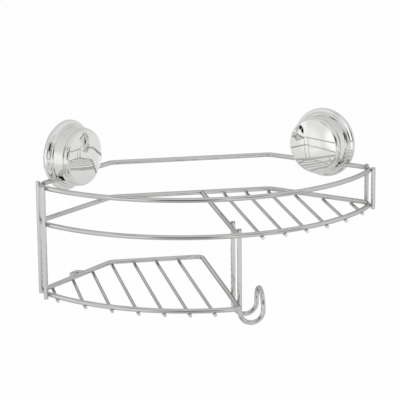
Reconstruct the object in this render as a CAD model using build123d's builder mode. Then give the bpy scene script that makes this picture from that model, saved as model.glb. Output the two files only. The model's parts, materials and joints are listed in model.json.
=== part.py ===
import os
from math import cos, radians, sin, sqrt, tan

from build123d import *

os.makedirs("parts", exist_ok=True)

# Corner shower caddy: a welded wire frame hung on two twist-lock suction units.
# Millimetres. The origin is midway between the faces of the two suction cups.
# +Y points into the corner of the walls, +X along the front to the right, +Z up.

# Wire sizes and welds
rail_wire = 4.6
upright_wire = 4.3
hook_wire = 4.4
slat_wire = 3.1
spacer_wire = 4.2
weld_sink = 0.1
cut_end_chamfer = 0.4

# Levels, measured down from the centre of the suction cups
rim_drop = 18.0
basket_height = 35.2
shelf_drop = 103.7

# Plan of the top rim and the middle rail
rim_width = 324.0
wall_gap = 12.5
back_edge_setback = 98.7
rim_front_radius = 190.9
rim_wall_angle = 45.0
corner_bend = 18.0
back_bend = 9.0

# Plan of the lower shelf, whose corner bend sits right under the rim's
shelf_front_radius = 183.7
shelf_wall_angle = 47.4
shelf_back_setback = 94.7
shelf_end_bend = 6.0

# Shelf slats and the edge where the two shelves meet
shelf_edge_x = 10.7
slat_first_gap = 23.6
slat_pitch = 22.8
slat_overhang = 2.8

# Uprights stand on the outside of the corner bends, at these angles from the X axis
left_wall_upright_angle = 24.0
left_front_upright_angle = -36.0
right_wall_upright_angle = 29.0
right_front_upright_angle = -16.0
upright_top_stub = 2.4
upright_foot_stub = 4.0

# Hairpin hook
hook_inset = 22.0
hook_leg_spacing = 29.0
hook_bend = 11.3
hook_depth = 21.0
hook_point_rise = 3.0
hook_leg_stub = 1.8

# Wall spacer under the left wall edge
spacer_from_corner = 178.0
spacer_width = 12.5
spacer_bend = 3.6

# Suction units, measured out from the wall
cup_half_spacing = 131.8
flange_radius = 34.4
flange_back = 2.5
flange_thickness = 4.0
flange_rounding = 1.5
flange_cove = 1.1
shoulder_step = 4.4
shoulder_end = 9.8
drum_step = 1.1
drum_draft = 0.4
drum_end = 21.1
drum_wall = 2.4
moulded_rounding = 0.6
rail_clearance = 0.3
running_clearance = 0.3

cavity_inset = 5.0
cavity_draft = 1.0
cavity_depth_edge = 1.7
cavity_depth_centre = 5.3
web_thickness = 2.2
well_radius = 11.5
well_depth = 9.3
well_wall = 2.0
guide_radius = 8.0
guide_end = 17.3
washer_radius = 8.8
washer_thickness = 0.9

# Suction cup and its stem
cup_inset = 2.8
cup_lip_width = 4.5
cup_lip_thickness = 1.0
cup_hollow = 2.6
cup_dome = 3.6
cup_shoulder = 5.1
cup_boss_radius = 10.0
cup_boss_height = 7.2
stem_foot_radius = 7.6
stem_foot_seat = 4.4
stem_foot_thickness = 1.6
stem_square = 8.0
stem_square_end = 14.3
stem_thread_radius = 4.0
stem_end = 20.0
thread_clearance = 0.1

# Knob
knob_step = 0.6
knob_back = 22.5
knob_rim = 26.0
knob_crown = 3.0
knob_edge_rounding = 3.0
knob_face_inner = 24.4
knob_skirt_wall = 2.1
knob_spigot_depth = 2.6
knob_hub_radius = 9.2
nut_across_flats = 12.0
nut_back = 19.4
nut_thickness = 4.4

# Pointer recess in the knob's face, angles turned from upright towards the viewer's left
pointer_tip_radius = 8.8
pointer_margin = 4.9
pointer_half_width = 3.8
pointer_corner = 1.1
pointer_floor = 25.9
left_pointer_angle = 17.0
right_pointer_angle = 53.0

rim_level = -rim_drop
middle_level = rim_level - basket_height
lower_level = rim_level - shelf_drop
rail_r = rail_wire / 2
same_size = 1e-4

# The walls run at 45 degrees through the cups, so the corner is as far back as a cup is out
corner_y = cup_half_spacing
rim_back_y = corner_y - back_edge_setback
shelf_back_y = corner_y - shelf_back_setback

# Centre of the front corner bends, from the gap kept between the wall rail and the wall
bend_x = rim_width / 2 - rail_r - corner_bend
bend_y = corner_y - bend_x - sqrt(2) * (corner_bend + wall_gap)


def save(piece, name):
    piece.part.label = name
    export_step(piece.part, f"parts/{name}.step")


def front_centre_y(radius):
    return bend_y + sqrt((radius - corner_bend) ** 2 - bend_x**2)


def front_y(x, radius):
    return front_centre_y(radius) - sqrt(radius**2 - x**2)


def wall_tangent(angle):
    return (
        -bend_x - corner_bend * sin(radians(angle)),
        bend_y + corner_bend * cos(radians(angle)),
    )


def wall_edge_y(x, angle):
    start_x, start_y = wall_tangent(angle)
    return start_y + (-abs(x) - start_x) * tan(radians(angle))


def back_corner_x(angle, back_y):
    start_x, start_y = wall_tangent(angle)
    return start_x + (back_y - start_y) / tan(radians(angle))


def back_y_at(x, angle, back_y):
    return min(back_y, wall_edge_y(x, angle))


def front_tangent(radius):
    ratio = radius / (radius - corner_bend)
    centre = front_centre_y(radius)
    return (-bend_x * ratio, centre + (bend_y - centre) * ratio)


def corner_middle(angle, radius):
    tangent_a = Vector(*wall_tangent(angle))
    tangent_b = Vector(*front_tangent(radius))
    centre = Vector(-bend_x, bend_y)
    out = ((tangent_a - centre) + (tangent_b - centre)).normalized()
    point = centre + out * corner_bend
    return (point.X, point.Y)


def mirrored(point):
    return (-point[0], point[1])


def rim_path(level):
    wall_end = wall_tangent(rim_wall_angle)
    front_end = front_tangent(rim_front_radius)
    bend_middle = corner_middle(rim_wall_angle, rim_front_radius)
    corner = (back_corner_x(rim_wall_angle, rim_back_y), rim_back_y)
    front_middle = (0, front_y(0, rim_front_radius))
    with BuildLine(Plane.XY.offset(level)) as path:
        FilletPolyline(wall_end, corner, mirrored(corner), mirrored(wall_end), radius=back_bend)
        ThreePointArc(mirrored(wall_end), mirrored(bend_middle), mirrored(front_end))
        ThreePointArc(mirrored(front_end), front_middle, front_end)
        ThreePointArc(front_end, bend_middle, wall_end)
    return path.wire()


def shelf_path(level):
    wall_end = wall_tangent(shelf_wall_angle)
    front_end = front_tangent(shelf_front_radius)
    bend_middle = corner_middle(shelf_wall_angle, shelf_front_radius)
    corner = (back_corner_x(shelf_wall_angle, shelf_back_y), shelf_back_y)
    end_middle_x = (front_end[0] + shelf_edge_x) / 2
    with BuildSketch(Plane.XY.offset(level)) as outline:
        with BuildLine():
            Polyline(
                wall_end,
                corner,
                (shelf_edge_x, shelf_back_y),
                (shelf_edge_x, front_y(shelf_edge_x, shelf_front_radius)),
            )
            ThreePointArc(
                (shelf_edge_x, front_y(shelf_edge_x, shelf_front_radius)),
                (end_middle_x, front_y(end_middle_x, shelf_front_radius)),
                front_end,
            )
            ThreePointArc(front_end, bend_middle, wall_end)
        make_face()
        fillet(outline.vertices().group_by(Axis.X)[-1], shelf_end_bend)
        fillet(outline.vertices().sort_by_distance(corner)[0], back_bend)
    return outline.sketch.face().outer_wire()


def wire_start(path):
    return Plane(origin=path @ 0, z_dir=path % 0)


def circles(piece, radius):
    round_edges = piece.edges().filter_by(GeomType.CIRCLE)
    return round_edges.filter_by(lambda edge: abs(edge.radius - radius) < same_size)


# Rims and rails, each one closed loop of bent wire
for name, path in (
    ("top_rim", rim_path(rim_level)),
    ("middle_rail", rim_path(middle_level)),
    ("lower_shelf_rail", shelf_path(lower_level)),
):
    with BuildPart() as rail:
        with BuildSketch(wire_start(path)):
            Circle(rail_r)
        sweep(path=path)
    save(rail, name)

# Edge wire of the upper shelf, butted between the back and front of the middle rail
edge_back = rim_back_y - rail_r + weld_sink
edge_front = front_y(shelf_edge_x, rim_front_radius) + rail_r - weld_sink
with BuildPart() as shelf_edge:
    with BuildSketch(Plane.XZ.offset(-edge_back)):
        with Locations((shelf_edge_x, middle_level)):
            Circle(rail_r)
    extrude(amount=edge_back - edge_front)
save(shelf_edge, "upper_shelf_edge")

# Uprights, welded to the outside of the corner bends
upright_reach = corner_bend + rail_r + upright_wire / 2 - weld_sink
for name, side, angle, foot_level in (
    ("left_wall_upright", -1, left_wall_upright_angle, lower_level),
    ("left_front_upright", -1, left_front_upright_angle, lower_level),
    ("right_wall_upright", 1, right_wall_upright_angle, middle_level),
    ("right_front_upright", 1, right_front_upright_angle, middle_level),
):
    upright_x = side * (bend_x + upright_reach * cos(radians(angle)))
    upright_y = bend_y + upright_reach * sin(radians(angle))
    with BuildPart() as upright:
        with BuildSketch(Plane.XY.offset(foot_level - upright_foot_stub)):
            with Locations((upright_x, upright_y)):
                Circle(upright_wire / 2)
        extrude(amount=rim_level - foot_level + upright_top_stub + upright_foot_stub)
        chamfer(upright.edges().filter_by(GeomType.CIRCLE), cut_end_chamfer)
    save(upright, name)

# Slats hang under the rails and stop just past them. There are as many as fit before the corner bends.
upper_reach = -front_tangent(rim_front_radius)[0] - shelf_edge_x
lower_reach = -front_tangent(shelf_front_radius)[0] + shelf_edge_x
upper_slat_count = 1 + int((upper_reach - slat_first_gap) / slat_pitch)
lower_slat_count = 1 + int((lower_reach - slat_first_gap) / slat_pitch)
slat_sink = rail_r + slat_wire / 2 - weld_sink
slats = [
    (
        f"upper_slat_{number}",
        shelf_edge_x + slat_first_gap + (number - 1) * slat_pitch,
        middle_level,
        rim_front_radius,
        rim_wall_angle,
        rim_back_y,
    )
    for number in range(1, upper_slat_count + 1)
] + [
    (
        f"lower_slat_{number}",
        shelf_edge_x - slat_first_gap - (number - 1) * slat_pitch,
        lower_level,
        shelf_front_radius,
        shelf_wall_angle,
        shelf_back_y,
    )
    for number in range(1, lower_slat_count + 1)
]
for name, slat_x, level, radius, angle, back_y in slats:
    slat_back = back_y_at(slat_x, angle, back_y) + slat_overhang
    slat_front = front_y(slat_x, radius) - slat_overhang
    with BuildPart() as slat:
        with BuildSketch(Plane.XZ.offset(-slat_back)):
            with Locations((slat_x, level - slat_sink)):
                Circle(slat_wire / 2)
        extrude(amount=slat_back - slat_front)
        chamfer(slat.edges().filter_by(GeomType.CIRCLE), cut_end_chamfer)
    save(slat, name)

# Hook, one wire: down the back leg, round the bend, over the point and up the front leg
leg_x = shelf_edge_x + rail_r + hook_wire / 2 - weld_sink
point_x = leg_x + 2 * hook_bend
leg_front_y = front_y(leg_x, shelf_front_radius) + hook_inset
leg_back_y = leg_front_y + hook_leg_spacing
leg_top = middle_level + hook_leg_stub
bend_level = lower_level - hook_depth + hook_bend
point_level = bend_level + hook_point_rise
point_top = point_level + hook_leg_spacing / 2
with BuildPart() as hook:
    with BuildLine() as hook_line:
        Line((leg_x, leg_back_y, leg_top), (leg_x, leg_back_y, bend_level))
        ThreePointArc(
            (leg_x, leg_back_y, bend_level),
            (leg_x + hook_bend, leg_back_y, bend_level - hook_bend),
            (point_x, leg_back_y, bend_level),
        )
        Line((point_x, leg_back_y, bend_level), (point_x, leg_back_y, point_level))
        ThreePointArc(
            (point_x, leg_back_y, point_level),
            (point_x, (leg_back_y + leg_front_y) / 2, point_top),
            (point_x, leg_front_y, point_level),
        )
        Line((point_x, leg_front_y, point_level), (point_x, leg_front_y, bend_level))
        ThreePointArc(
            (point_x, leg_front_y, bend_level),
            (leg_x + hook_bend, leg_front_y, bend_level - hook_bend),
            (leg_x, leg_front_y, bend_level),
        )
        Line((leg_x, leg_front_y, bend_level), (leg_x, leg_front_y, leg_top))
    with BuildSketch(wire_start(hook_line.wire())):
        Circle(hook_wire / 2)
    sweep(path=hook_line.wire())
save(hook, "hook")

# Wall spacer, a U of wire that keeps the lower shelf off the left wall.
# Its plane has X along the wall towards the corner and Y towards the wall.
wall_plane = Plane(origin=(0, corner_y, lower_level), x_dir=(1, 1, 0), z_dir=(0, 0, 1))
tangent_x, tangent_y = wall_tangent(shelf_wall_angle)
tangent_along = (tangent_x + tangent_y - corner_y) / sqrt(2)
tangent_out = (tangent_y - corner_y - tangent_x) / sqrt(2)
rail_slope = tan(radians(shelf_wall_angle - 45))


def spacer_foot(along):
    return tangent_out + (along - tangent_along) * rail_slope + rail_r - weld_sink


spacer_a = -spacer_from_corner - spacer_width / 2
spacer_b = -spacer_from_corner + spacer_width / 2
with BuildPart() as spacer:
    with BuildLine(wall_plane) as spacer_line:
        FilletPolyline(
            (spacer_a, spacer_foot(spacer_a)),
            (spacer_a, -spacer_wire / 2),
            (spacer_b, -spacer_wire / 2),
            (spacer_b, spacer_foot(spacer_b)),
            radius=spacer_bend,
        )
    with BuildSketch(wire_start(spacer_line.wire())):
        Circle(spacer_wire / 2)
    sweep(path=spacer_line.wire())
save(spacer, "wall_spacer")

# Suction units. A unit's plane lies on its wall, with Z out of the wall and Y up.
flange_front = flange_back + flange_thickness
shoulder_radius = flange_radius - shoulder_step
drum_radius = shoulder_radius - drum_step
drum_front_radius = drum_radius - drum_draft
cavity_radius = flange_radius - cavity_inset
cavity_edge_radius = cavity_radius - cavity_draft
cup_radius = flange_radius - cup_inset
knob_radius = drum_front_radius - knob_step
pointer_outer_radius = knob_radius - pointer_margin
drum_bore = drum_front_radius - drum_wall
cavity_edge = flange_back + cavity_depth_edge
cavity_top = flange_back + cavity_depth_centre
well_top = flange_back + well_depth
web_slope = (cavity_top - cavity_edge) / (cavity_edge_radius - well_radius)
well_outer = well_radius + well_wall
slot_half = rail_r + rail_clearance
guide_square = stem_square + 2 * running_clearance
knob_spigot_radius = drum_bore - running_clearance
knob_spigot_back = knob_back - knob_spigot_depth
hub_back = guide_end + washer_thickness + running_clearance


def web_top(radius):
    return cavity_edge + (cavity_edge_radius - radius) * web_slope + web_thickness


for side, out_x, pointer_angle in (
    ("left", 1, left_pointer_angle),
    ("right", -1, right_pointer_angle),
):
    wall = Plane(
        origin=(-out_x * cup_half_spacing, 0, 0),
        x_dir=(1, out_x, 0),
        z_dir=(out_x, -1, 0),
    )
    axis = Axis(wall.origin, wall.z_dir)
    profile = Plane(origin=wall.origin, x_dir=wall.x_dir, z_dir=wall.x_dir.cross(wall.z_dir))

    # Housing: flange over the cup, stepped drum, guide tube and a slot that the rim lies in
    with BuildPart() as housing:
        with BuildSketch(profile):
            with BuildLine():
                Polyline(
                    (cavity_radius, flange_back),
                    (flange_radius, flange_back),
                    (flange_radius, flange_front),
                    (shoulder_radius, flange_front + flange_cove),
                    (shoulder_radius, shoulder_end),
                    (drum_radius, shoulder_end),
                    (drum_front_radius, drum_end),
                    (drum_bore, drum_end),
                    (drum_bore, web_top(drum_bore)),
                    (well_outer, web_top(well_outer)),
                    (well_outer, well_top + web_thickness),
                    (guide_radius, well_top + web_thickness),
                    (guide_radius, guide_end),
                    (0, guide_end),
                    (0, well_top),
                    (well_radius, well_top),
                    (well_radius, cavity_top),
                    (cavity_edge_radius, cavity_edge),
                    close=True,
                )
            make_face()
        revolve(axis=axis)
        fillet(circles(housing, flange_radius), flange_rounding)
        fillet(circles(housing, shoulder_radius).sort_by(axis)[-1], moulded_rounding)
        fillet(circles(housing, drum_front_radius), moulded_rounding)
        with BuildSketch(wall):
            Rectangle(guide_square, guide_square)
        extrude(amount=guide_end + running_clearance, mode=Mode.SUBTRACT)
        slot_plane = Plane(
            origin=wall.from_local_coords((0, rim_level, wall_gap)),
            x_dir=wall.z_dir,
            z_dir=wall.x_dir,
        )
        with BuildSketch(slot_plane):
            Circle(slot_half)
            with Locations((drum_end / 2, 0)):
                Rectangle(drum_end, 2 * slot_half)
        extrude(amount=flange_radius, both=True, mode=Mode.SUBTRACT)
    save(housing, f"{side}_housing")

    # Suction cup, moulded round the foot of the stem
    foot_top = stem_foot_seat + stem_foot_thickness
    lip_inner = cup_radius - cup_lip_width
    with BuildPart() as cup:
        with BuildSketch(profile):
            with BuildLine():
                Polyline(
                    (0, cup_hollow),
                    (cup_boss_radius, cup_hollow),
                    (lip_inner, 0),
                    (cup_radius, 0),
                    (cup_radius, cup_lip_thickness),
                    (cavity_radius - 2 * running_clearance, flange_back),
                    ((cavity_radius + cup_boss_radius) / 2, cup_dome),
                    (cup_boss_radius, cup_shoulder),
                    (cup_boss_radius, cup_boss_height),
                    (stem_square / sqrt(2) + running_clearance, cup_boss_height),
                    (stem_square / sqrt(2) + running_clearance, foot_top + running_clearance),
                    (stem_foot_radius + running_clearance, foot_top + running_clearance),
                    (stem_foot_radius + running_clearance, stem_foot_seat - running_clearance),
                    (0, stem_foot_seat - running_clearance),
                    close=True,
                )
            make_face()
        revolve(axis=axis)
    save(cup, f"{side}_suction_cup")

    # Stem: foot in the cup, square shank in the guide, threaded end in the nut
    with BuildPart() as stem:
        with BuildSketch(wall.offset(stem_foot_seat)):
            Circle(stem_foot_radius)
        extrude(amount=stem_foot_thickness)
        with BuildSketch(wall.offset(foot_top)):
            Rectangle(stem_square, stem_square)
        extrude(amount=stem_square_end - foot_top)
        with BuildSketch(wall.offset(stem_square_end)):
            Circle(stem_thread_radius)
        extrude(amount=stem_end - stem_square_end)
        stem_tip = stem.faces().sort_by(axis)[-1]
        chamfer(stem_tip.edges(), cut_end_chamfer)
    save(stem, f"{side}_stem")

    # Thrust washer between the guide tube and the knob's hub
    with BuildPart() as washer:
        with BuildSketch(wall.offset(guide_end)):
            Circle(washer_radius)
            Circle(stem_square / sqrt(2) + running_clearance, mode=Mode.SUBTRACT)
        extrude(amount=washer_thickness)
    save(washer, f"{side}_thrust_washer")

    # Knob: crowned face, skirt, spigot in the drum's mouth and a hub round the nut
    hub_bore = stem_square / sqrt(2) + running_clearance
    with BuildPart() as knob:
        with BuildSketch(profile):
            with BuildLine():
                Polyline(
                    (0, knob_rim + knob_crown),
                    (0, knob_face_inner),
                    (hub_bore, knob_face_inner),
                    (hub_bore, hub_back),
                    (knob_hub_radius, hub_back),
                    (knob_hub_radius, knob_face_inner),
                    (knob_spigot_radius - knob_skirt_wall, knob_face_inner),
                    (knob_spigot_radius - knob_skirt_wall, knob_spigot_back),
                    (knob_spigot_radius, knob_spigot_back),
                    (knob_spigot_radius, knob_back),
                    (knob_radius, knob_back),
                    (knob_radius, knob_rim),
                )
                TangentArc((0, knob_rim + knob_crown), (knob_radius, knob_rim), tangent=(1, 0))
            make_face()
        revolve(axis=axis)
        fillet(circles(knob, knob_radius).sort_by(axis)[0], moulded_rounding)
        fillet(circles(knob, knob_radius).sort_by(axis)[-1], knob_edge_rounding)
        with BuildSketch(wall.offset(nut_back)):
            RegularPolygon(nut_across_flats / 2, 6, major_radius=False)
        extrude(amount=nut_thickness, mode=Mode.SUBTRACT)
        pointer_plane = Plane(
            origin=wall.from_local_coords((0, 0, pointer_floor)),
            x_dir=wall.x_dir.rotate(axis, pointer_angle),
            z_dir=wall.z_dir,
        )
        with BuildSketch(pointer_plane) as pointer:
            with BuildLine():
                Polyline(
                    (0, pointer_tip_radius),
                    (pointer_half_width, pointer_outer_radius - pointer_half_width / 2),
                    (0, pointer_outer_radius),
                    (-pointer_half_width, pointer_outer_radius - pointer_half_width / 2),
                    close=True,
                )
            make_face()
            fillet(pointer.vertices(), pointer_corner)
        extrude(amount=knob_crown + knob_rim - pointer_floor, mode=Mode.SUBTRACT)
    save(knob, f"{side}_knob")

    # Lift nut held in the hub, which draws the stem out as the knob turns
    with BuildPart() as nut:
        with BuildSketch(wall.offset(nut_back)):
            RegularPolygon(nut_across_flats / 2, 6, major_radius=False)
            Circle(stem_thread_radius + thread_clearance, mode=Mode.SUBTRACT)
        extrude(amount=nut_thickness)
    save(nut, f"{side}_lift_nut")
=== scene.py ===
import json
import math

import bmesh
import bpy
from mathutils import Matrix, Vector


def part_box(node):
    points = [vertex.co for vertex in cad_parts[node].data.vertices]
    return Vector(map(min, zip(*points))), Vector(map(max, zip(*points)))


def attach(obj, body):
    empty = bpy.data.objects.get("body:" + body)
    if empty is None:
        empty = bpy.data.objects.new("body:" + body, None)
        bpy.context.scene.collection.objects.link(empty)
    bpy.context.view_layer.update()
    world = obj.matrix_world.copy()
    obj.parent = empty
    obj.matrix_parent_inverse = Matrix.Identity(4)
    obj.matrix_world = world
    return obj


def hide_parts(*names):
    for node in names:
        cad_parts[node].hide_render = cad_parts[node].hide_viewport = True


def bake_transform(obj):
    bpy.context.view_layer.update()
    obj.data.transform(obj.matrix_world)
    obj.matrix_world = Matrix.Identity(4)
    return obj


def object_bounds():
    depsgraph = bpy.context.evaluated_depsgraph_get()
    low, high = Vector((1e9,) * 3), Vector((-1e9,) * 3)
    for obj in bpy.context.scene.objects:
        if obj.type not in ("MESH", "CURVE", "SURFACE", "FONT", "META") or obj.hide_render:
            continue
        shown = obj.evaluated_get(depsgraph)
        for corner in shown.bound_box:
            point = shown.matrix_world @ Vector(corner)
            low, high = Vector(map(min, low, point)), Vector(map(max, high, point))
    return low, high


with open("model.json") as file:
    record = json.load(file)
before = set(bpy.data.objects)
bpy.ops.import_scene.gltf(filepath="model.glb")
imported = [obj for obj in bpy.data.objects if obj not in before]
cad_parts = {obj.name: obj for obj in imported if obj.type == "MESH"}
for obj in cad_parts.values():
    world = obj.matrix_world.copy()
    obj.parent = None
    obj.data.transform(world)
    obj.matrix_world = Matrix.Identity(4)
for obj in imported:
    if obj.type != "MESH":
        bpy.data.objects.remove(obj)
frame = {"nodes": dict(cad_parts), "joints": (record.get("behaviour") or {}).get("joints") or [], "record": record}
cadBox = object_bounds()
mm = 0.001
sides = ("left", "right")
plainWhite = (1, 1, 1, 1)
print("frame loaded with", len(frame["nodes"]), "nodes")


# The photograph's camera, in metres in the rack's own frame
cameraSetup = {
    "place": (-0.3336, -1.7832, 0.3867),
    "target": (-0.0071, -0.0509, -0.0406),
    "rollDegrees": -0.58,
    "lens": 169.5,
    "sensor": 36.0,
    "clipEnd": 60.0,
}


def placeCamera(setup):
    lens = bpy.data.cameras.new("photoCamera")
    lens.lens = setup["lens"]
    lens.sensor_width = setup["sensor"]
    lens.clip_end = setup["clipEnd"]
    holder = bpy.data.objects.new("photoCamera", lens)
    bpy.context.scene.collection.objects.link(holder)
    aim = Vector(setup["target"]) - Vector(setup["place"])
    roll = Matrix.Rotation(math.radians(setup["rollDegrees"]), 3, "Z")
    turn = aim.to_track_quat("-Z", "Y").to_matrix() @ roll
    holder.matrix_world = Matrix.Translation(setup["place"]) @ turn.to_4x4()
    bpy.context.scene.camera = holder


placeCamera(cameraSetup)
bpy.context.scene.view_settings.view_transform = "Standard"
print("camera placed")


# Small helpers for node trees
def addNode(tree, kind, place, **settings):
    node = tree.nodes.new(kind)
    node.location = place
    for name, value in settings.items():
        setattr(node, name, value)
    return node


def newMaterial(name):
    material = bpy.data.materials.new(name)
    material.use_nodes = True
    material.node_tree.nodes.clear()
    return material, material.node_tree


# Studio: a pale floor, a white surround, one soft lamp and the cards that polished metal mirrors
studio = {
    "floorDrop": 0.45,
    "floorSpan": 40.0,
    "floorColour": (0.80, 0.80, 0.80),
    "floorLift": 0.98,
    "mirroredFloorNear": 0.73,
    "mirroredFloorFar": 0.85,
    "nearReach": 0.9,
    "farReach": 2.2,
    "mirroredHorizon": 0.85,
    "mirroredCeiling": 0.76,
    "horizonEnd": 0.26,
    "ceilingStart": 0.40,
    "mirroredBack": 0.9,
    "backStart": -0.15,
    "backEnd": 0.45,
    "cardSoftness": 0.5,
    "fillGlow": 0.55,
    "keyPlace": (-0.9, -1.5, 1.7),
    "keySize": (1.4, 0.9),
    "keyPower": 18.0,
}

# Cards round the set: turn from the front towards the right, lift above level, reach, width, height, glow.
# A card that gives its own softness has a crisper edge than the others
mirrorCards = {
    "leftSoftbox": {"turn": -78, "lift": -6, "reach": 1.3, "wide": 0.8, "tall": 0.7, "glow": 0.97},
    "drumCard": {
        "turn": -92, "lift": 8, "reach": 0.5, "wide": 0.16, "tall": 0.25, "glow": 1.03, "soft": 0.3,
    },
    "innerSoftbox": {"turn": -48, "lift": -2, "reach": 1.3, "wide": 0.8, "tall": 0.75, "glow": 1.15},
    "frontSoftbox": {"turn": 17, "lift": -6, "reach": 1.3, "wide": 0.6, "tall": 0.7, "glow": 1.1},
    "backSoftbox": {"turn": 139, "lift": -13, "reach": 1.3, "wide": 1.1, "tall": 0.6, "glow": 1.1},
    "slatCard": {"turn": -171, "lift": 7, "reach": 1.3, "wide": 0.5, "tall": 0.46, "glow": 1.3},
    "frontFlag": {"turn": -13, "lift": 10, "reach": 1.2, "wide": 1.25, "tall": 0.85, "glow": 0.01},
    "lowFlag": {"turn": -13, "lift": -43, "reach": 0.7, "wide": 0.6, "tall": 0.42, "glow": 0.2},
    "rightFlag": {"turn": 49, "lift": 0, "reach": 1.2, "wide": 0.55, "tall": 0.6, "glow": 0.2},
    "gapFlag": {"turn": 26, "lift": 20, "reach": 1.1, "wide": 0.6, "tall": 0.55, "glow": 0.03},
    "highFlag": {"turn": -52, "lift": 37, "reach": 1.2, "wide": 0.5, "tall": 0.42, "glow": 0.02},
}


def seenDirectly(tree):
    path = addNode(tree, "ShaderNodeLightPath", (-1000, 300))
    either = addNode(tree, "ShaderNodeMath", (-800, 300), operation="MAXIMUM")
    anyOf = addNode(tree, "ShaderNodeMath", (-600, 300), operation="MAXIMUM")
    tree.links.new(path.outputs["Is Camera Ray"], either.inputs[0])
    tree.links.new(path.outputs["Is Glossy Ray"], either.inputs[1])
    tree.links.new(either.outputs[0], anyOf.inputs[0])
    tree.links.new(path.outputs["Is Transmission Ray"], anyOf.inputs[1])
    return path, anyOf.outputs[0]


def whiteUnlessMirrored(tree, path, mirrored):
    mix = addNode(tree, "ShaderNodeMix", (-400, 100), data_type="FLOAT")
    mix.inputs["A"].default_value = 1
    tree.links.new(path.outputs["Is Glossy Ray"], mix.inputs["Factor"])
    tree.links.new(mirrored, mix.inputs["B"])
    return mix.outputs["Result"]


def smoothRange(tree, value, low, high, lowResult, highResult):
    ramp = addNode(tree, "ShaderNodeMapRange", (-600, -100), interpolation_type="SMOOTHSTEP")
    limits = {"From Min": low, "From Max": high, "To Min": lowResult, "To Max": highResult}
    for name, number in limits.items():
        ramp.inputs[name].default_value = number
    tree.links.new(value, ramp.inputs["Value"])
    return ramp.outputs["Result"]


def floorMaterial(setup):
    material, tree = newMaterial("paleFloor")
    path, seen = seenDirectly(tree)
    lift = addNode(tree, "ShaderNodeMath", (-400, 300), operation="MULTIPLY")
    lift.inputs[1].default_value = setup["floorLift"]
    spot = addNode(tree, "ShaderNodeNewGeometry", (-1000, -100))
    away = addNode(tree, "ShaderNodeVectorMath", (-800, -100), operation="LENGTH")
    matt = addNode(tree, "ShaderNodeBsdfDiffuse", (-400, -100))
    matt.inputs["Color"].default_value = (*setup["floorColour"], 1)
    white = addNode(tree, "ShaderNodeEmission", (-200, -200))
    white.inputs["Color"].default_value = plainWhite
    mix = addNode(tree, "ShaderNodeMixShader", (-50, 0))
    out = addNode(tree, "ShaderNodeOutputMaterial", (150, 0))
    tree.links.new(spot.outputs["Position"], away.inputs[0])
    mirrored = smoothRange(
        tree, away.outputs["Value"], setup["nearReach"], setup["farReach"],
        setup["mirroredFloorNear"], setup["mirroredFloorFar"],
    )
    tree.links.new(whiteUnlessMirrored(tree, path, mirrored), white.inputs["Strength"])
    tree.links.new(seen, lift.inputs[0])
    tree.links.new(lift.outputs[0], mix.inputs["Fac"])
    tree.links.new(matt.outputs["BSDF"], mix.inputs[1])
    tree.links.new(white.outputs["Emission"], mix.inputs[2])
    tree.links.new(mix.outputs["Shader"], out.inputs["Surface"])
    return material


def cardMaterial(name, card):
    material, tree = newMaterial(name)
    where = addNode(tree, "ShaderNodeTexCoord", (-1000, 0))
    centre = addNode(tree, "ShaderNodeMapping", (-800, 0))
    centre.inputs["Scale"].default_value = (2 / card["wide"], 2 / card["tall"], 1)
    blot = addNode(tree, "ShaderNodeTexGradient", (-600, 0), gradient_type="SPHERICAL")
    clear = addNode(tree, "ShaderNodeBsdfTransparent", (-200, 100))
    light = addNode(tree, "ShaderNodeEmission", (-200, 0))
    light.inputs["Color"].default_value = plainWhite
    light.inputs["Strength"].default_value = card["glow"]
    mix = addNode(tree, "ShaderNodeMixShader", (0, 0))
    out = addNode(tree, "ShaderNodeOutputMaterial", (200, 0))
    tree.links.new(where.outputs["Object"], centre.inputs["Vector"])
    tree.links.new(centre.outputs["Vector"], blot.inputs["Vector"])
    softness = card.get("soft", studio["cardSoftness"])
    shown = smoothRange(tree, blot.outputs["Fac"], 0, softness, 0, 1)
    tree.links.new(shown, mix.inputs["Fac"])
    tree.links.new(clear.outputs["BSDF"], mix.inputs[1])
    tree.links.new(light.outputs["Emission"], mix.inputs[2])
    tree.links.new(mix.outputs["Shader"], out.inputs["Surface"])
    return material


def flatSheet(name, wide, tall, material):
    mesh = bpy.data.meshes.new(name)
    right, top = wide / 2, tall / 2
    corners = [(-right, -top, 0), (right, -top, 0), (right, top, 0), (-right, top, 0)]
    mesh.from_pydata(corners, [], [(0, 1, 2, 3)])
    mesh.materials.append(material)
    sheet = bpy.data.objects.new(name, mesh)
    bpy.context.scene.collection.objects.link(sheet)
    return sheet


def setCard(name, card, middle):
    turn, lift = math.radians(card["turn"]), math.radians(card["lift"])
    away = Vector((math.sin(turn) * math.cos(lift), -math.cos(turn) * math.cos(lift), math.sin(lift)))
    facing = (-away).to_track_quat("Z", "Y").to_matrix().to_4x4()
    sheet = flatSheet(name, card["wide"], card["tall"], cardMaterial(name, card))
    sheet.matrix_world = Matrix.Translation(middle + away * card["reach"]) @ facing
    sheet.visible_camera = False
    sheet.visible_diffuse = False
    sheet.visible_shadow = False


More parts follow.
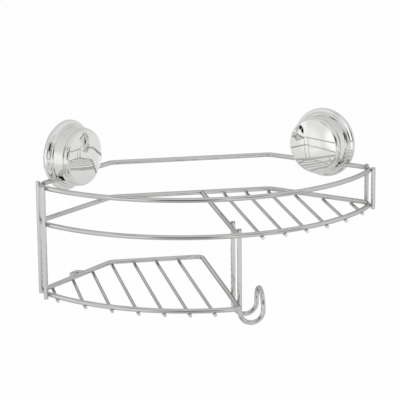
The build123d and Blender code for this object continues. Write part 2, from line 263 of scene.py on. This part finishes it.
def surround(setup):
    world = bpy.data.worlds.new("whiteSurround")
    bpy.context.scene.world = world
    world.use_nodes = True
    tree = world.node_tree
    tree.nodes.clear()
    path, seen = seenDirectly(tree)
    where = addNode(tree, "ShaderNodeTexCoord", (-1000, -100))
    height = addNode(tree, "ShaderNodeSeparateXYZ", (-800, -100))
    fill = addNode(tree, "ShaderNodeBackground", (-200, -100))
    fill.inputs["Strength"].default_value = setup["fillGlow"]
    white = addNode(tree, "ShaderNodeBackground", (-200, -250))
    for shade in (fill, white):
        shade.inputs["Color"].default_value = plainWhite
    mix = addNode(tree, "ShaderNodeMixShader", (0, 0))
    out = addNode(tree, "ShaderNodeOutputWorld", (200, 0))
    tree.links.new(where.outputs["Generated"], height.inputs[0])
    upward = smoothRange(
        tree, height.outputs["Z"], setup["horizonEnd"], setup["ceilingStart"],
        setup["mirroredHorizon"], setup["mirroredCeiling"],
    )
    backward = smoothRange(
        tree, height.outputs["Y"], setup["backStart"], setup["backEnd"], 1, setup["mirroredBack"],
    )
    mirrored = addNode(tree, "ShaderNodeMath", (-500, -150), operation="MULTIPLY")
    tree.links.new(upward, mirrored.inputs[0])
    tree.links.new(backward, mirrored.inputs[1])
    tree.links.new(whiteUnlessMirrored(tree, path, mirrored.outputs[0]), white.inputs["Strength"])
    tree.links.new(seen, mix.inputs["Fac"])
    tree.links.new(fill.outputs["Background"], mix.inputs[1])
    tree.links.new(white.outputs["Background"], mix.inputs[2])
    tree.links.new(mix.outputs["Shader"], out.inputs["Surface"])


def keyLamp(setup, middle):
    lamp = bpy.data.lights.new("softKey", "AREA")
    lamp.shape = "RECTANGLE"
    lamp.size, lamp.size_y = setup["keySize"]
    lamp.energy = setup["keyPower"]
    holder = bpy.data.objects.new("softKey", lamp)
    bpy.context.scene.collection.objects.link(holder)
    place = Vector(setup["keyPlace"])
    facing = (middle - place).to_track_quat("-Z", "Y").to_matrix().to_4x4()
    holder.matrix_world = Matrix.Translation(place) @ facing
    holder.visible_glossy = False


setMiddle = (Vector(cadBox[0]) + Vector(cadBox[1])) / 2
floor = flatSheet("studioFloor", studio["floorSpan"], studio["floorSpan"], floorMaterial(studio))
floor.location = (0, 0, cadBox[0][2] - studio["floorDrop"])
surround(studio)
keyLamp(studio, setMiddle)
for cardName, card in mirrorCards.items():
    setCard(cardName, card, setMiddle)
print("studio set")


# Shared effect: plating that is clouded a little, handled here and there and not perfectly flat
sheenTexture = {
    "cloudDetail": 3,
    "touchScale": 120,
    "touchDetail": 6,
    "touchStart": 0.5,
    "touchEnd": 0.8,
    "rippleDetail": 1,
}


def platingGroup(texture):
    group = bpy.data.node_groups.new("platedSheen", "ShaderNodeTree")
    for name, kind in (("Colour", "NodeSocketColor"), ("Cloud Size", "NodeSocketFloat"),
                       ("Cloud Depth", "NodeSocketFloat"), ("Polish", "NodeSocketFloat"),
                       ("Smudge", "NodeSocketFloat"), ("Ripple Size", "NodeSocketFloat")):
        group.interface.new_socket(name=name, in_out="INPUT", socket_type=kind)
    for name, kind in (("Colour", "NodeSocketColor"), ("Roughness", "NodeSocketFloat"),
                       ("Height", "NodeSocketFloat")):
        group.interface.new_socket(name=name, in_out="OUTPUT", socket_type=kind)
    given = addNode(group, "NodeGroupInput", (-900, 0))
    result = addNode(group, "NodeGroupOutput", (500, 0))
    where = addNode(group, "ShaderNodeTexCoord", (-900, -300))
    cloud = addNode(group, "ShaderNodeTexNoise", (-600, 100))
    cloud.inputs["Detail"].default_value = texture["cloudDetail"]
    touch = addNode(group, "ShaderNodeTexNoise", (-600, -150))
    touch.inputs["Scale"].default_value = texture["touchScale"]
    touch.inputs["Detail"].default_value = texture["touchDetail"]
    ripple = addNode(group, "ShaderNodeTexNoise", (-600, -400))
    ripple.inputs["Detail"].default_value = texture["rippleDetail"]
    for noise in (cloud, touch, ripple):
        group.links.new(where.outputs["Object"], noise.inputs["Vector"])
    group.links.new(given.outputs["Cloud Size"], cloud.inputs["Scale"])
    group.links.new(given.outputs["Ripple Size"], ripple.inputs["Scale"])
    shade = addNode(group, "ShaderNodeMath", (-350, 100), operation="MULTIPLY")
    group.links.new(cloud.outputs["Fac"], shade.inputs[0])
    group.links.new(given.outputs["Cloud Depth"], shade.inputs[1])
    darker = addNode(group, "ShaderNodeHueSaturation", (150, 150))
    value = addNode(group, "ShaderNodeMath", (-100, 100), operation="SUBTRACT")
    value.inputs[0].default_value = 1
    group.links.new(shade.outputs[0], value.inputs[1])
    group.links.new(value.outputs[0], darker.inputs["Value"])
    group.links.new(given.outputs["Colour"], darker.inputs["Color"])
    smear = addNode(group, "ShaderNodeMapRange", (-350, -150), interpolation_type="SMOOTHSTEP")
    smear.inputs["From Min"].default_value = texture["touchStart"]
    smear.inputs["From Max"].default_value = texture["touchEnd"]
    group.links.new(touch.outputs["Fac"], smear.inputs["Value"])
    rough = addNode(group, "ShaderNodeMath", (-100, -150), operation="MULTIPLY_ADD")
    group.links.new(smear.outputs["Result"], rough.inputs[0])
    group.links.new(given.outputs["Smudge"], rough.inputs[1])
    group.links.new(given.outputs["Polish"], rough.inputs[2])
    group.links.new(darker.outputs["Color"], result.inputs["Colour"])
    group.links.new(rough.outputs[0], result.inputs["Roughness"])
    group.links.new(ripple.outputs["Fac"], result.inputs["Height"])
    return group


platedSheen = platingGroup(sheenTexture)


def platedMaterial(name, finish):
    material, tree = newMaterial(name)
    sheen = addNode(tree, "ShaderNodeGroup", (-500, 0), node_tree=platedSheen)
    sheen.inputs["Colour"].default_value = (*finish["colour"], 1)
    sheen.inputs["Cloud Size"].default_value = finish["cloudSize"]
    sheen.inputs["Cloud Depth"].default_value = finish["cloudDepth"]
    sheen.inputs["Polish"].default_value = finish["polish"]
    sheen.inputs["Smudge"].default_value = finish["smudge"]
    sheen.inputs["Ripple Size"].default_value = finish["rippleSize"]
    bump = addNode(tree, "ShaderNodeBump", (-250, -200))
    bump.inputs["Strength"].default_value = finish["rippleStrength"]
    bump.inputs["Distance"].default_value = finish["rippleDepth"]
    metal = addNode(tree, "ShaderNodeBsdfPrincipled", (0, 0))
    metal.inputs["Metallic"].default_value = finish["metallic"]
    metal.inputs["Specular Tint"].default_value = (*finish["edgeTint"], 1)
    out = addNode(tree, "ShaderNodeOutputMaterial", (300, 0))
    tree.links.new(sheen.outputs["Colour"], metal.inputs["Base Color"])
    tree.links.new(sheen.outputs["Roughness"], metal.inputs["Roughness"])
    tree.links.new(sheen.outputs["Height"], bump.inputs["Height"])
    tree.links.new(bump.outputs["Normal"], metal.inputs["Normal"])
    tree.links.new(metal.outputs["BSDF"], out.inputs["Surface"])
    return material


finishes = {
    "chromed_wire": {
        "colour": (0.70, 0.71, 0.69), "edgeTint": (0.5, 0.5, 0.5), "metallic": 1.0,
        "cloudSize": 60, "cloudDepth": 0.10, "polish": 0.03,
        "smudge": 0.04, "rippleSize": 250, "rippleStrength": 0.01, "rippleDepth": 0.0002,
    },
    "chromed_plastic": {
        "colour": (0.88, 0.885, 0.87), "edgeTint": (0.9, 0.9, 0.9), "metallic": 1.0,
        "cloudSize": 40, "cloudDepth": 0.04, "polish": 0.03,
        "smudge": 0.03, "rippleSize": 60, "rippleStrength": 0.006, "rippleDepth": 0.0004,
    },
    "brass": {
        "colour": (0.72, 0.53, 0.24), "edgeTint": (1, 1, 1), "metallic": 1.0,
        "cloudSize": 150, "cloudDepth": 0.25, "polish": 0.22,
        "smudge": 0.15, "rippleSize": 1500, "rippleStrength": 0.2, "rippleDepth": 0.0002,
    },
    "white_acetal": {
        "colour": (0.84, 0.84, 0.81), "edgeTint": (1, 1, 1), "metallic": 0.0,
        "cloudSize": 90, "cloudDepth": 0.06, "polish": 0.36,
        "smudge": 0.12, "rippleSize": 1200, "rippleStrength": 0.15, "rippleDepth": 0.0002,
    },
}
slotMaterials = {slot: platedMaterial(slot + "_finish", finish) for slot, finish in finishes.items()}


# Clear soft vinyl of the suction cups
vinyl = {
    "colour": (0.93, 0.95, 0.94), "streak": (0.84, 0.89, 0.89), "roughness": 0.08, "ior": 1.52,
    "clear": 0.7, "haze": 0.12, "flowScale": 220, "flowDetail": 4,
}


def vinylMaterial(finish):
    material, tree = newMaterial("clearVinyl")
    where = addNode(tree, "ShaderNodeTexCoord", (-900, 0))
    flow = addNode(tree, "ShaderNodeTexNoise", (-700, 0))
    flow.inputs["Scale"].default_value = finish["flowScale"]
    flow.inputs["Detail"].default_value = finish["flowDetail"]
    tint = addNode(tree, "ShaderNodeMix", (-400, 150), data_type="RGBA")
    tint.inputs["A"].default_value = (*finish["colour"], 1)
    tint.inputs["B"].default_value = (*finish["streak"], 1)
    rough = addNode(tree, "ShaderNodeMath", (-400, -100), operation="MULTIPLY_ADD")
    rough.inputs[1].default_value = finish["haze"]
    rough.inputs[2].default_value = finish["roughness"]
    soft = addNode(tree, "ShaderNodeBsdfPrincipled", (0, 0))
    soft.inputs["Transmission Weight"].default_value = finish["clear"]
    soft.inputs["IOR"].default_value = finish["ior"]
    out = addNode(tree, "ShaderNodeOutputMaterial", (300, 0))
    tree.links.new(where.outputs["Object"], flow.inputs["Vector"])
    tree.links.new(flow.outputs["Fac"], tint.inputs["Factor"])
    tree.links.new(flow.outputs["Fac"], rough.inputs[0])
    tree.links.new(tint.outputs["Result"], soft.inputs["Base Color"])
    tree.links.new(rough.outputs[0], soft.inputs["Roughness"])
    tree.links.new(soft.outputs["BSDF"], out.inputs["Surface"])
    return material


slotMaterials["soft_vinyl"] = vinylMaterial(vinyl)

for entry in frame["record"]["subparts"]:
    node = frame["nodes"][entry["node"]]
    for slot in node.material_slots:
        slot.material = slotMaterials[entry["material_slot"]]
print("finishes assigned")


# Where each suction unit stands: its own X along the wall, Y up and Z out into the room
def unitPlace(side):
    turn = next(joint for joint in frame["joints"] if joint["name"] == side + "_knob_turn")
    out = -Vector(turn["axis"]).normalized()
    up = Vector((0, 0, 1))
    along = up.cross(out)
    place = Matrix((along, up, out)).transposed().to_4x4()
    place.translation = turn["pos_m"]
    return place


# Shared tools for turned pieces
turning = {"cornerCut": 0.25, "axisRadius": 1e-6}


def cutCorners(points, rounds):
    cut = turning["cornerCut"]
    for _ in range(rounds):
        rounded = [points[0]]
        for first, second in zip(points, points[1:]):
            a, b = Vector(first), Vector(second)
            rounded += [tuple(a.lerp(b, cut)), tuple(a.lerp(b, 1 - cut))]
        points = rounded + [points[-1]]
    return points


def smoothFaces(mesh):
    for face in mesh.polygons:
        face.use_smooth = True


def latheMesh(name, profile, steps):
    shape = bmesh.new()
    rings = []
    for radius, height in profile:
        if radius < turning["axisRadius"]:
            rings.append([shape.verts.new((0, 0, height))])
            continue
        ring = []
        for step in range(steps):
            angle = 2 * math.pi * step / steps
            ring.append(shape.verts.new((radius * math.cos(angle), radius * math.sin(angle), height)))
        rings.append(ring)
    for lower, upper in zip(rings, rings[1:]):
        for step in range(steps):
            after = (step + 1) % steps
            corners = [lower[step % len(lower)], lower[after % len(lower)],
                       upper[after % len(upper)], upper[step % len(upper)]]
            corners = list(dict.fromkeys(corners))
            if len(corners) > 2:
                shape.faces.new(corners)
    bmesh.ops.recalc_face_normals(shape, faces=shape.faces)
    mesh = bpy.data.meshes.new(name)
    shape.to_mesh(mesh)
    shape.free()
    smoothFaces(mesh)
    return mesh


def turnedPiece(side, name, outline, steps, slot):
    profile = [(radius * mm, height * mm) for radius, height in outline]
    mesh = latheMesh(name, profile, steps)
    mesh.materials.append(slotMaterials[slot])
    piece = bpy.data.objects.new(name, mesh)
    bpy.context.scene.collection.objects.link(piece)
    piece.matrix_world = unitPlace(side)
    return piece


# Suction cup: ringed hollow, thin sealing lip, domed back, boss round the stem's foot.
# Millimetres, radius then height off the wall
cupShape = {
    "hollow": 2.6,
    "hollowRadius": 10.0,
    "lipInner": 27.1,
    "ringRadii": (14.0, 18.0, 22.0),
    "ringHalf": 0.35,
    "ringFlank": 0.35,
    "ringHeight": 0.4,
    "outside": [
        (28.5, 0), (30, 0), (31.4, 0), (31.6, 0.3), (31.5, 0.8), (31.0, 1.05), (29.4, 1.7), (28.2, 2.2),
        (19.7, 3.45), (13.0, 4.2), (10.2, 5.0), (9.95, 6.8), (9.6, 7.15), (7.0, 7.2), (6.0, 7.1),
    ],
    "footPocket": [(5.95, 6.35), (7.6, 6.3), (7.9, 6.1), (7.9, 4.3), (7.6, 4.1), (4, 4.1), (0, 4.1)],
    "rounds": 2,
    "steps": 128,
    "bendStart": 1.0,
    "bendEnd": 5.7,
}


def cupProfile(shape):
    hollow, start = shape["hollow"], shape["hollowRadius"]
    slope = hollow / (shape["lipInner"] - start)
    half, flank = shape["ringHalf"], shape["ringFlank"]
    inside = [(0, hollow), (start / 2, hollow), (start, hollow)]
    for ring in shape["ringRadii"]:
        for reach, rise in ((-half - flank, 0), (-half, 1), (half, 1), (half + flank, 0)):
            radius = ring + reach
            inside.append((radius, hollow - (radius - start) * slope - rise * shape["ringHeight"]))
    return inside + [(shape["lipInner"], 0)] + shape["outside"] + shape["footPocket"]


def suctionCup(side, shape):
    outline = cutCorners(cupProfile(shape), shape["rounds"])
    cup = turnedPiece(side, side + "CupVinyl", outline, shape["steps"], "soft_vinyl")
    place = unitPlace(side)
    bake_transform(cup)
    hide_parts(side + "_suction_cup")


for side in sides:
    suctionCup(side, cupShape)
print("suction cups made")


# Collar in the drum's mouth: its lip fills the groove behind the knob, and its skirt closes the rail slots.
# Millimetres, radius then height off the wall
mouthLip = {
    "lip": [(26.4, 22.2), (26.5, 22.3), (27.1, 22.3), (27.3, 22.2), (27.35, 22.0), (27.4, 20.95)],
    "skirt": [
        (27.95, 20.9), (28.3, 20.6), (28.45, 20.0), (28.55, 17.3), (28.4, 17.0), (26.6, 16.9), (26.4, 17.1),
    ],
    "steps": 128,
}


def drumLip(side, shape):
    outline = shape["lip"] + shape["skirt"] + shape["lip"][:1]
    lip = turnedPiece(side, side + "MouthLip", outline, shape["steps"], "chromed_plastic")
    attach(lip, side + "_unit")


for side in sides:
    drumLip(side, mouthLip)
print("drum lips made")


# Cove at the root of the flange, tangent to its front and to the shoulder of the drum.
# Millimetres, radius then height off the wall
rootCove = {
    "centre": (32.05, 9.2),
    "radius": 2.05,
    "startAngle": 180,
    "endAngle": 256,
    "arcSteps": 12,
    "buried": [(31.5, 6.9), (29.7, 7.2), (29.7, 9.1)],
    "steps": 128,
}


def flangeCove(side, shape):
    middleRadius, middleHeight = shape["centre"]
    sweep = shape["endAngle"] - shape["startAngle"]
    outline = []
    for step in range(shape["arcSteps"] + 1):
        angle = math.radians(shape["startAngle"] + sweep * step / shape["arcSteps"])
        radius = middleRadius + shape["radius"] * math.cos(angle)
        outline.append((radius, middleHeight + shape["radius"] * math.sin(angle)))
    outline += shape["buried"] + outline[:1]
    cove = turnedPiece(side, side + "FlangeCove", outline, shape["steps"], "chromed_plastic")
    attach(cove, side + "_unit")


for side in sides:
    flangeCove(side, rootCove)
print("flange coves made")


# Spot welds: a small pressed bead where two wires cross and a collar where one butts on another
weldShape = {"spread": 1.15, "lift": 0.5, "rings": 6, "steps": 16, "slatOverhang": 2.8, "hookRadius": 2.2}
collarShape = {"spread": 2.5, "lift": 0.7, "rings": 8, "steps": 24, "footDepth": 0.3}


def beadMesh(name, spots, shape):
    beads = bmesh.new()
    for spot, normal in spots:
        turn = normal.to_track_quat("Z", "Y").to_matrix().to_4x4()
        size = Matrix.Diagonal((shape["spread"] * mm, shape["spread"] * mm, shape["lift"] * mm, 1))
        bmesh.ops.create_uvsphere(
            beads, u_segments=shape["steps"], v_segments=shape["rings"], radius=1,
            matrix=Matrix.Translation(spot) @ turn @ size,
        )
    mesh = bpy.data.meshes.new(name)
    beads.to_mesh(mesh)
    beads.free()
    smoothFaces(mesh)
    mesh.materials.append(slotMaterials["chromed_wire"])
    piece = bpy.data.objects.new(name, mesh)
    bpy.context.scene.collection.objects.link(piece)
    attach(piece, "wire_frame")


def slatSpots(prefix, shape):
    spots = []
    for name in frame["nodes"]:
        if name.startswith(prefix):
            low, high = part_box(name)
            for y in (low.y + shape["slatOverhang"] * mm, high.y - shape["slatOverhang"] * mm):
                spots.append((Vector(((low.x + high.x) / 2, y, high.z)), Vector((0, 0, 1))))
    return spots


def nearestOn(name, point):
    node = frame["nodes"][name]
    _, spot, _, _ = node.closest_point_on_mesh(node.matrix_world.inverted() @ point)
    return node.matrix_world @ spot


def uprightSpots(rails):
    spots = []
    for name in frame["nodes"]:
        if name.endswith("_upright"):
            low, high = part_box(name)
            for rail in rails:
                level = sum(corner.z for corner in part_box(rail)) / 2
                if low.z < level < high.z:
                    middle = Vector(((low.x + high.x) / 2, (low.y + high.y) / 2, level))
                    spot = nearestOn(rail, middle)
                    spots.append((spot, (middle - spot).normalized()))
    return spots


def hookSpots(edges, shape):
    low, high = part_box("hook")
    spots = []
    for edge in edges:
        edgeLow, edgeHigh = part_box(edge)
        level = (edgeLow.z + edgeHigh.z) / 2
        for y in (low.y + shape["hookRadius"] * mm, high.y - shape["hookRadius"] * mm):
            spots.append((Vector((edgeHigh.x, y, level)), Vector((1, 0, 0))))
    return spots


def shelfEdgeSpots():
    low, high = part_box("upper_shelf_edge")
    x, level = (low.x + high.x) / 2, (low.z + high.z) / 2
    front = (Vector((x, low.y, level)), Vector((0, 1, 0)))
    back = (Vector((x, high.y, level)), Vector((0, -1, 0)))
    return [front, back]


def spacerSpots(shape):
    node = frame["nodes"]["wall_spacer"]
    wall = unitPlace("left")
    outward = wall.col[2].xyz
    along = wall.col[0].xyz
    points = [node.matrix_world @ vertex.co for vertex in node.data.vertices]
    middle = sum(along.dot(point) for point in points) / len(points)
    spots = []
    for half in (-1, 1):
        leg = [point for point in points if half * (along.dot(point) - middle) > 0]
        reach = max(outward.dot(point) for point in leg)
        foot = [point for point in leg if reach - outward.dot(point) < shape["footDepth"] * mm]
        spots.append((sum(foot, Vector()) / len(foot), outward))
    return spots


beadMesh("basketWelds", slatSpots("upper_slat_", weldShape), weldShape)
beadMesh("lowShelfWelds", slatSpots("lower_slat_", weldShape), weldShape)
beadMesh("uprightWelds", uprightSpots(("top_rim", "middle_rail", "lower_shelf_rail")), weldShape)
beadMesh("hookWelds", hookSpots(("upper_shelf_edge", "lower_shelf_rail"), weldShape), weldShape)
beadMesh("buttWelds", shelfEdgeSpots() + spacerSpots(collarShape), collarShape)
print("welds made")
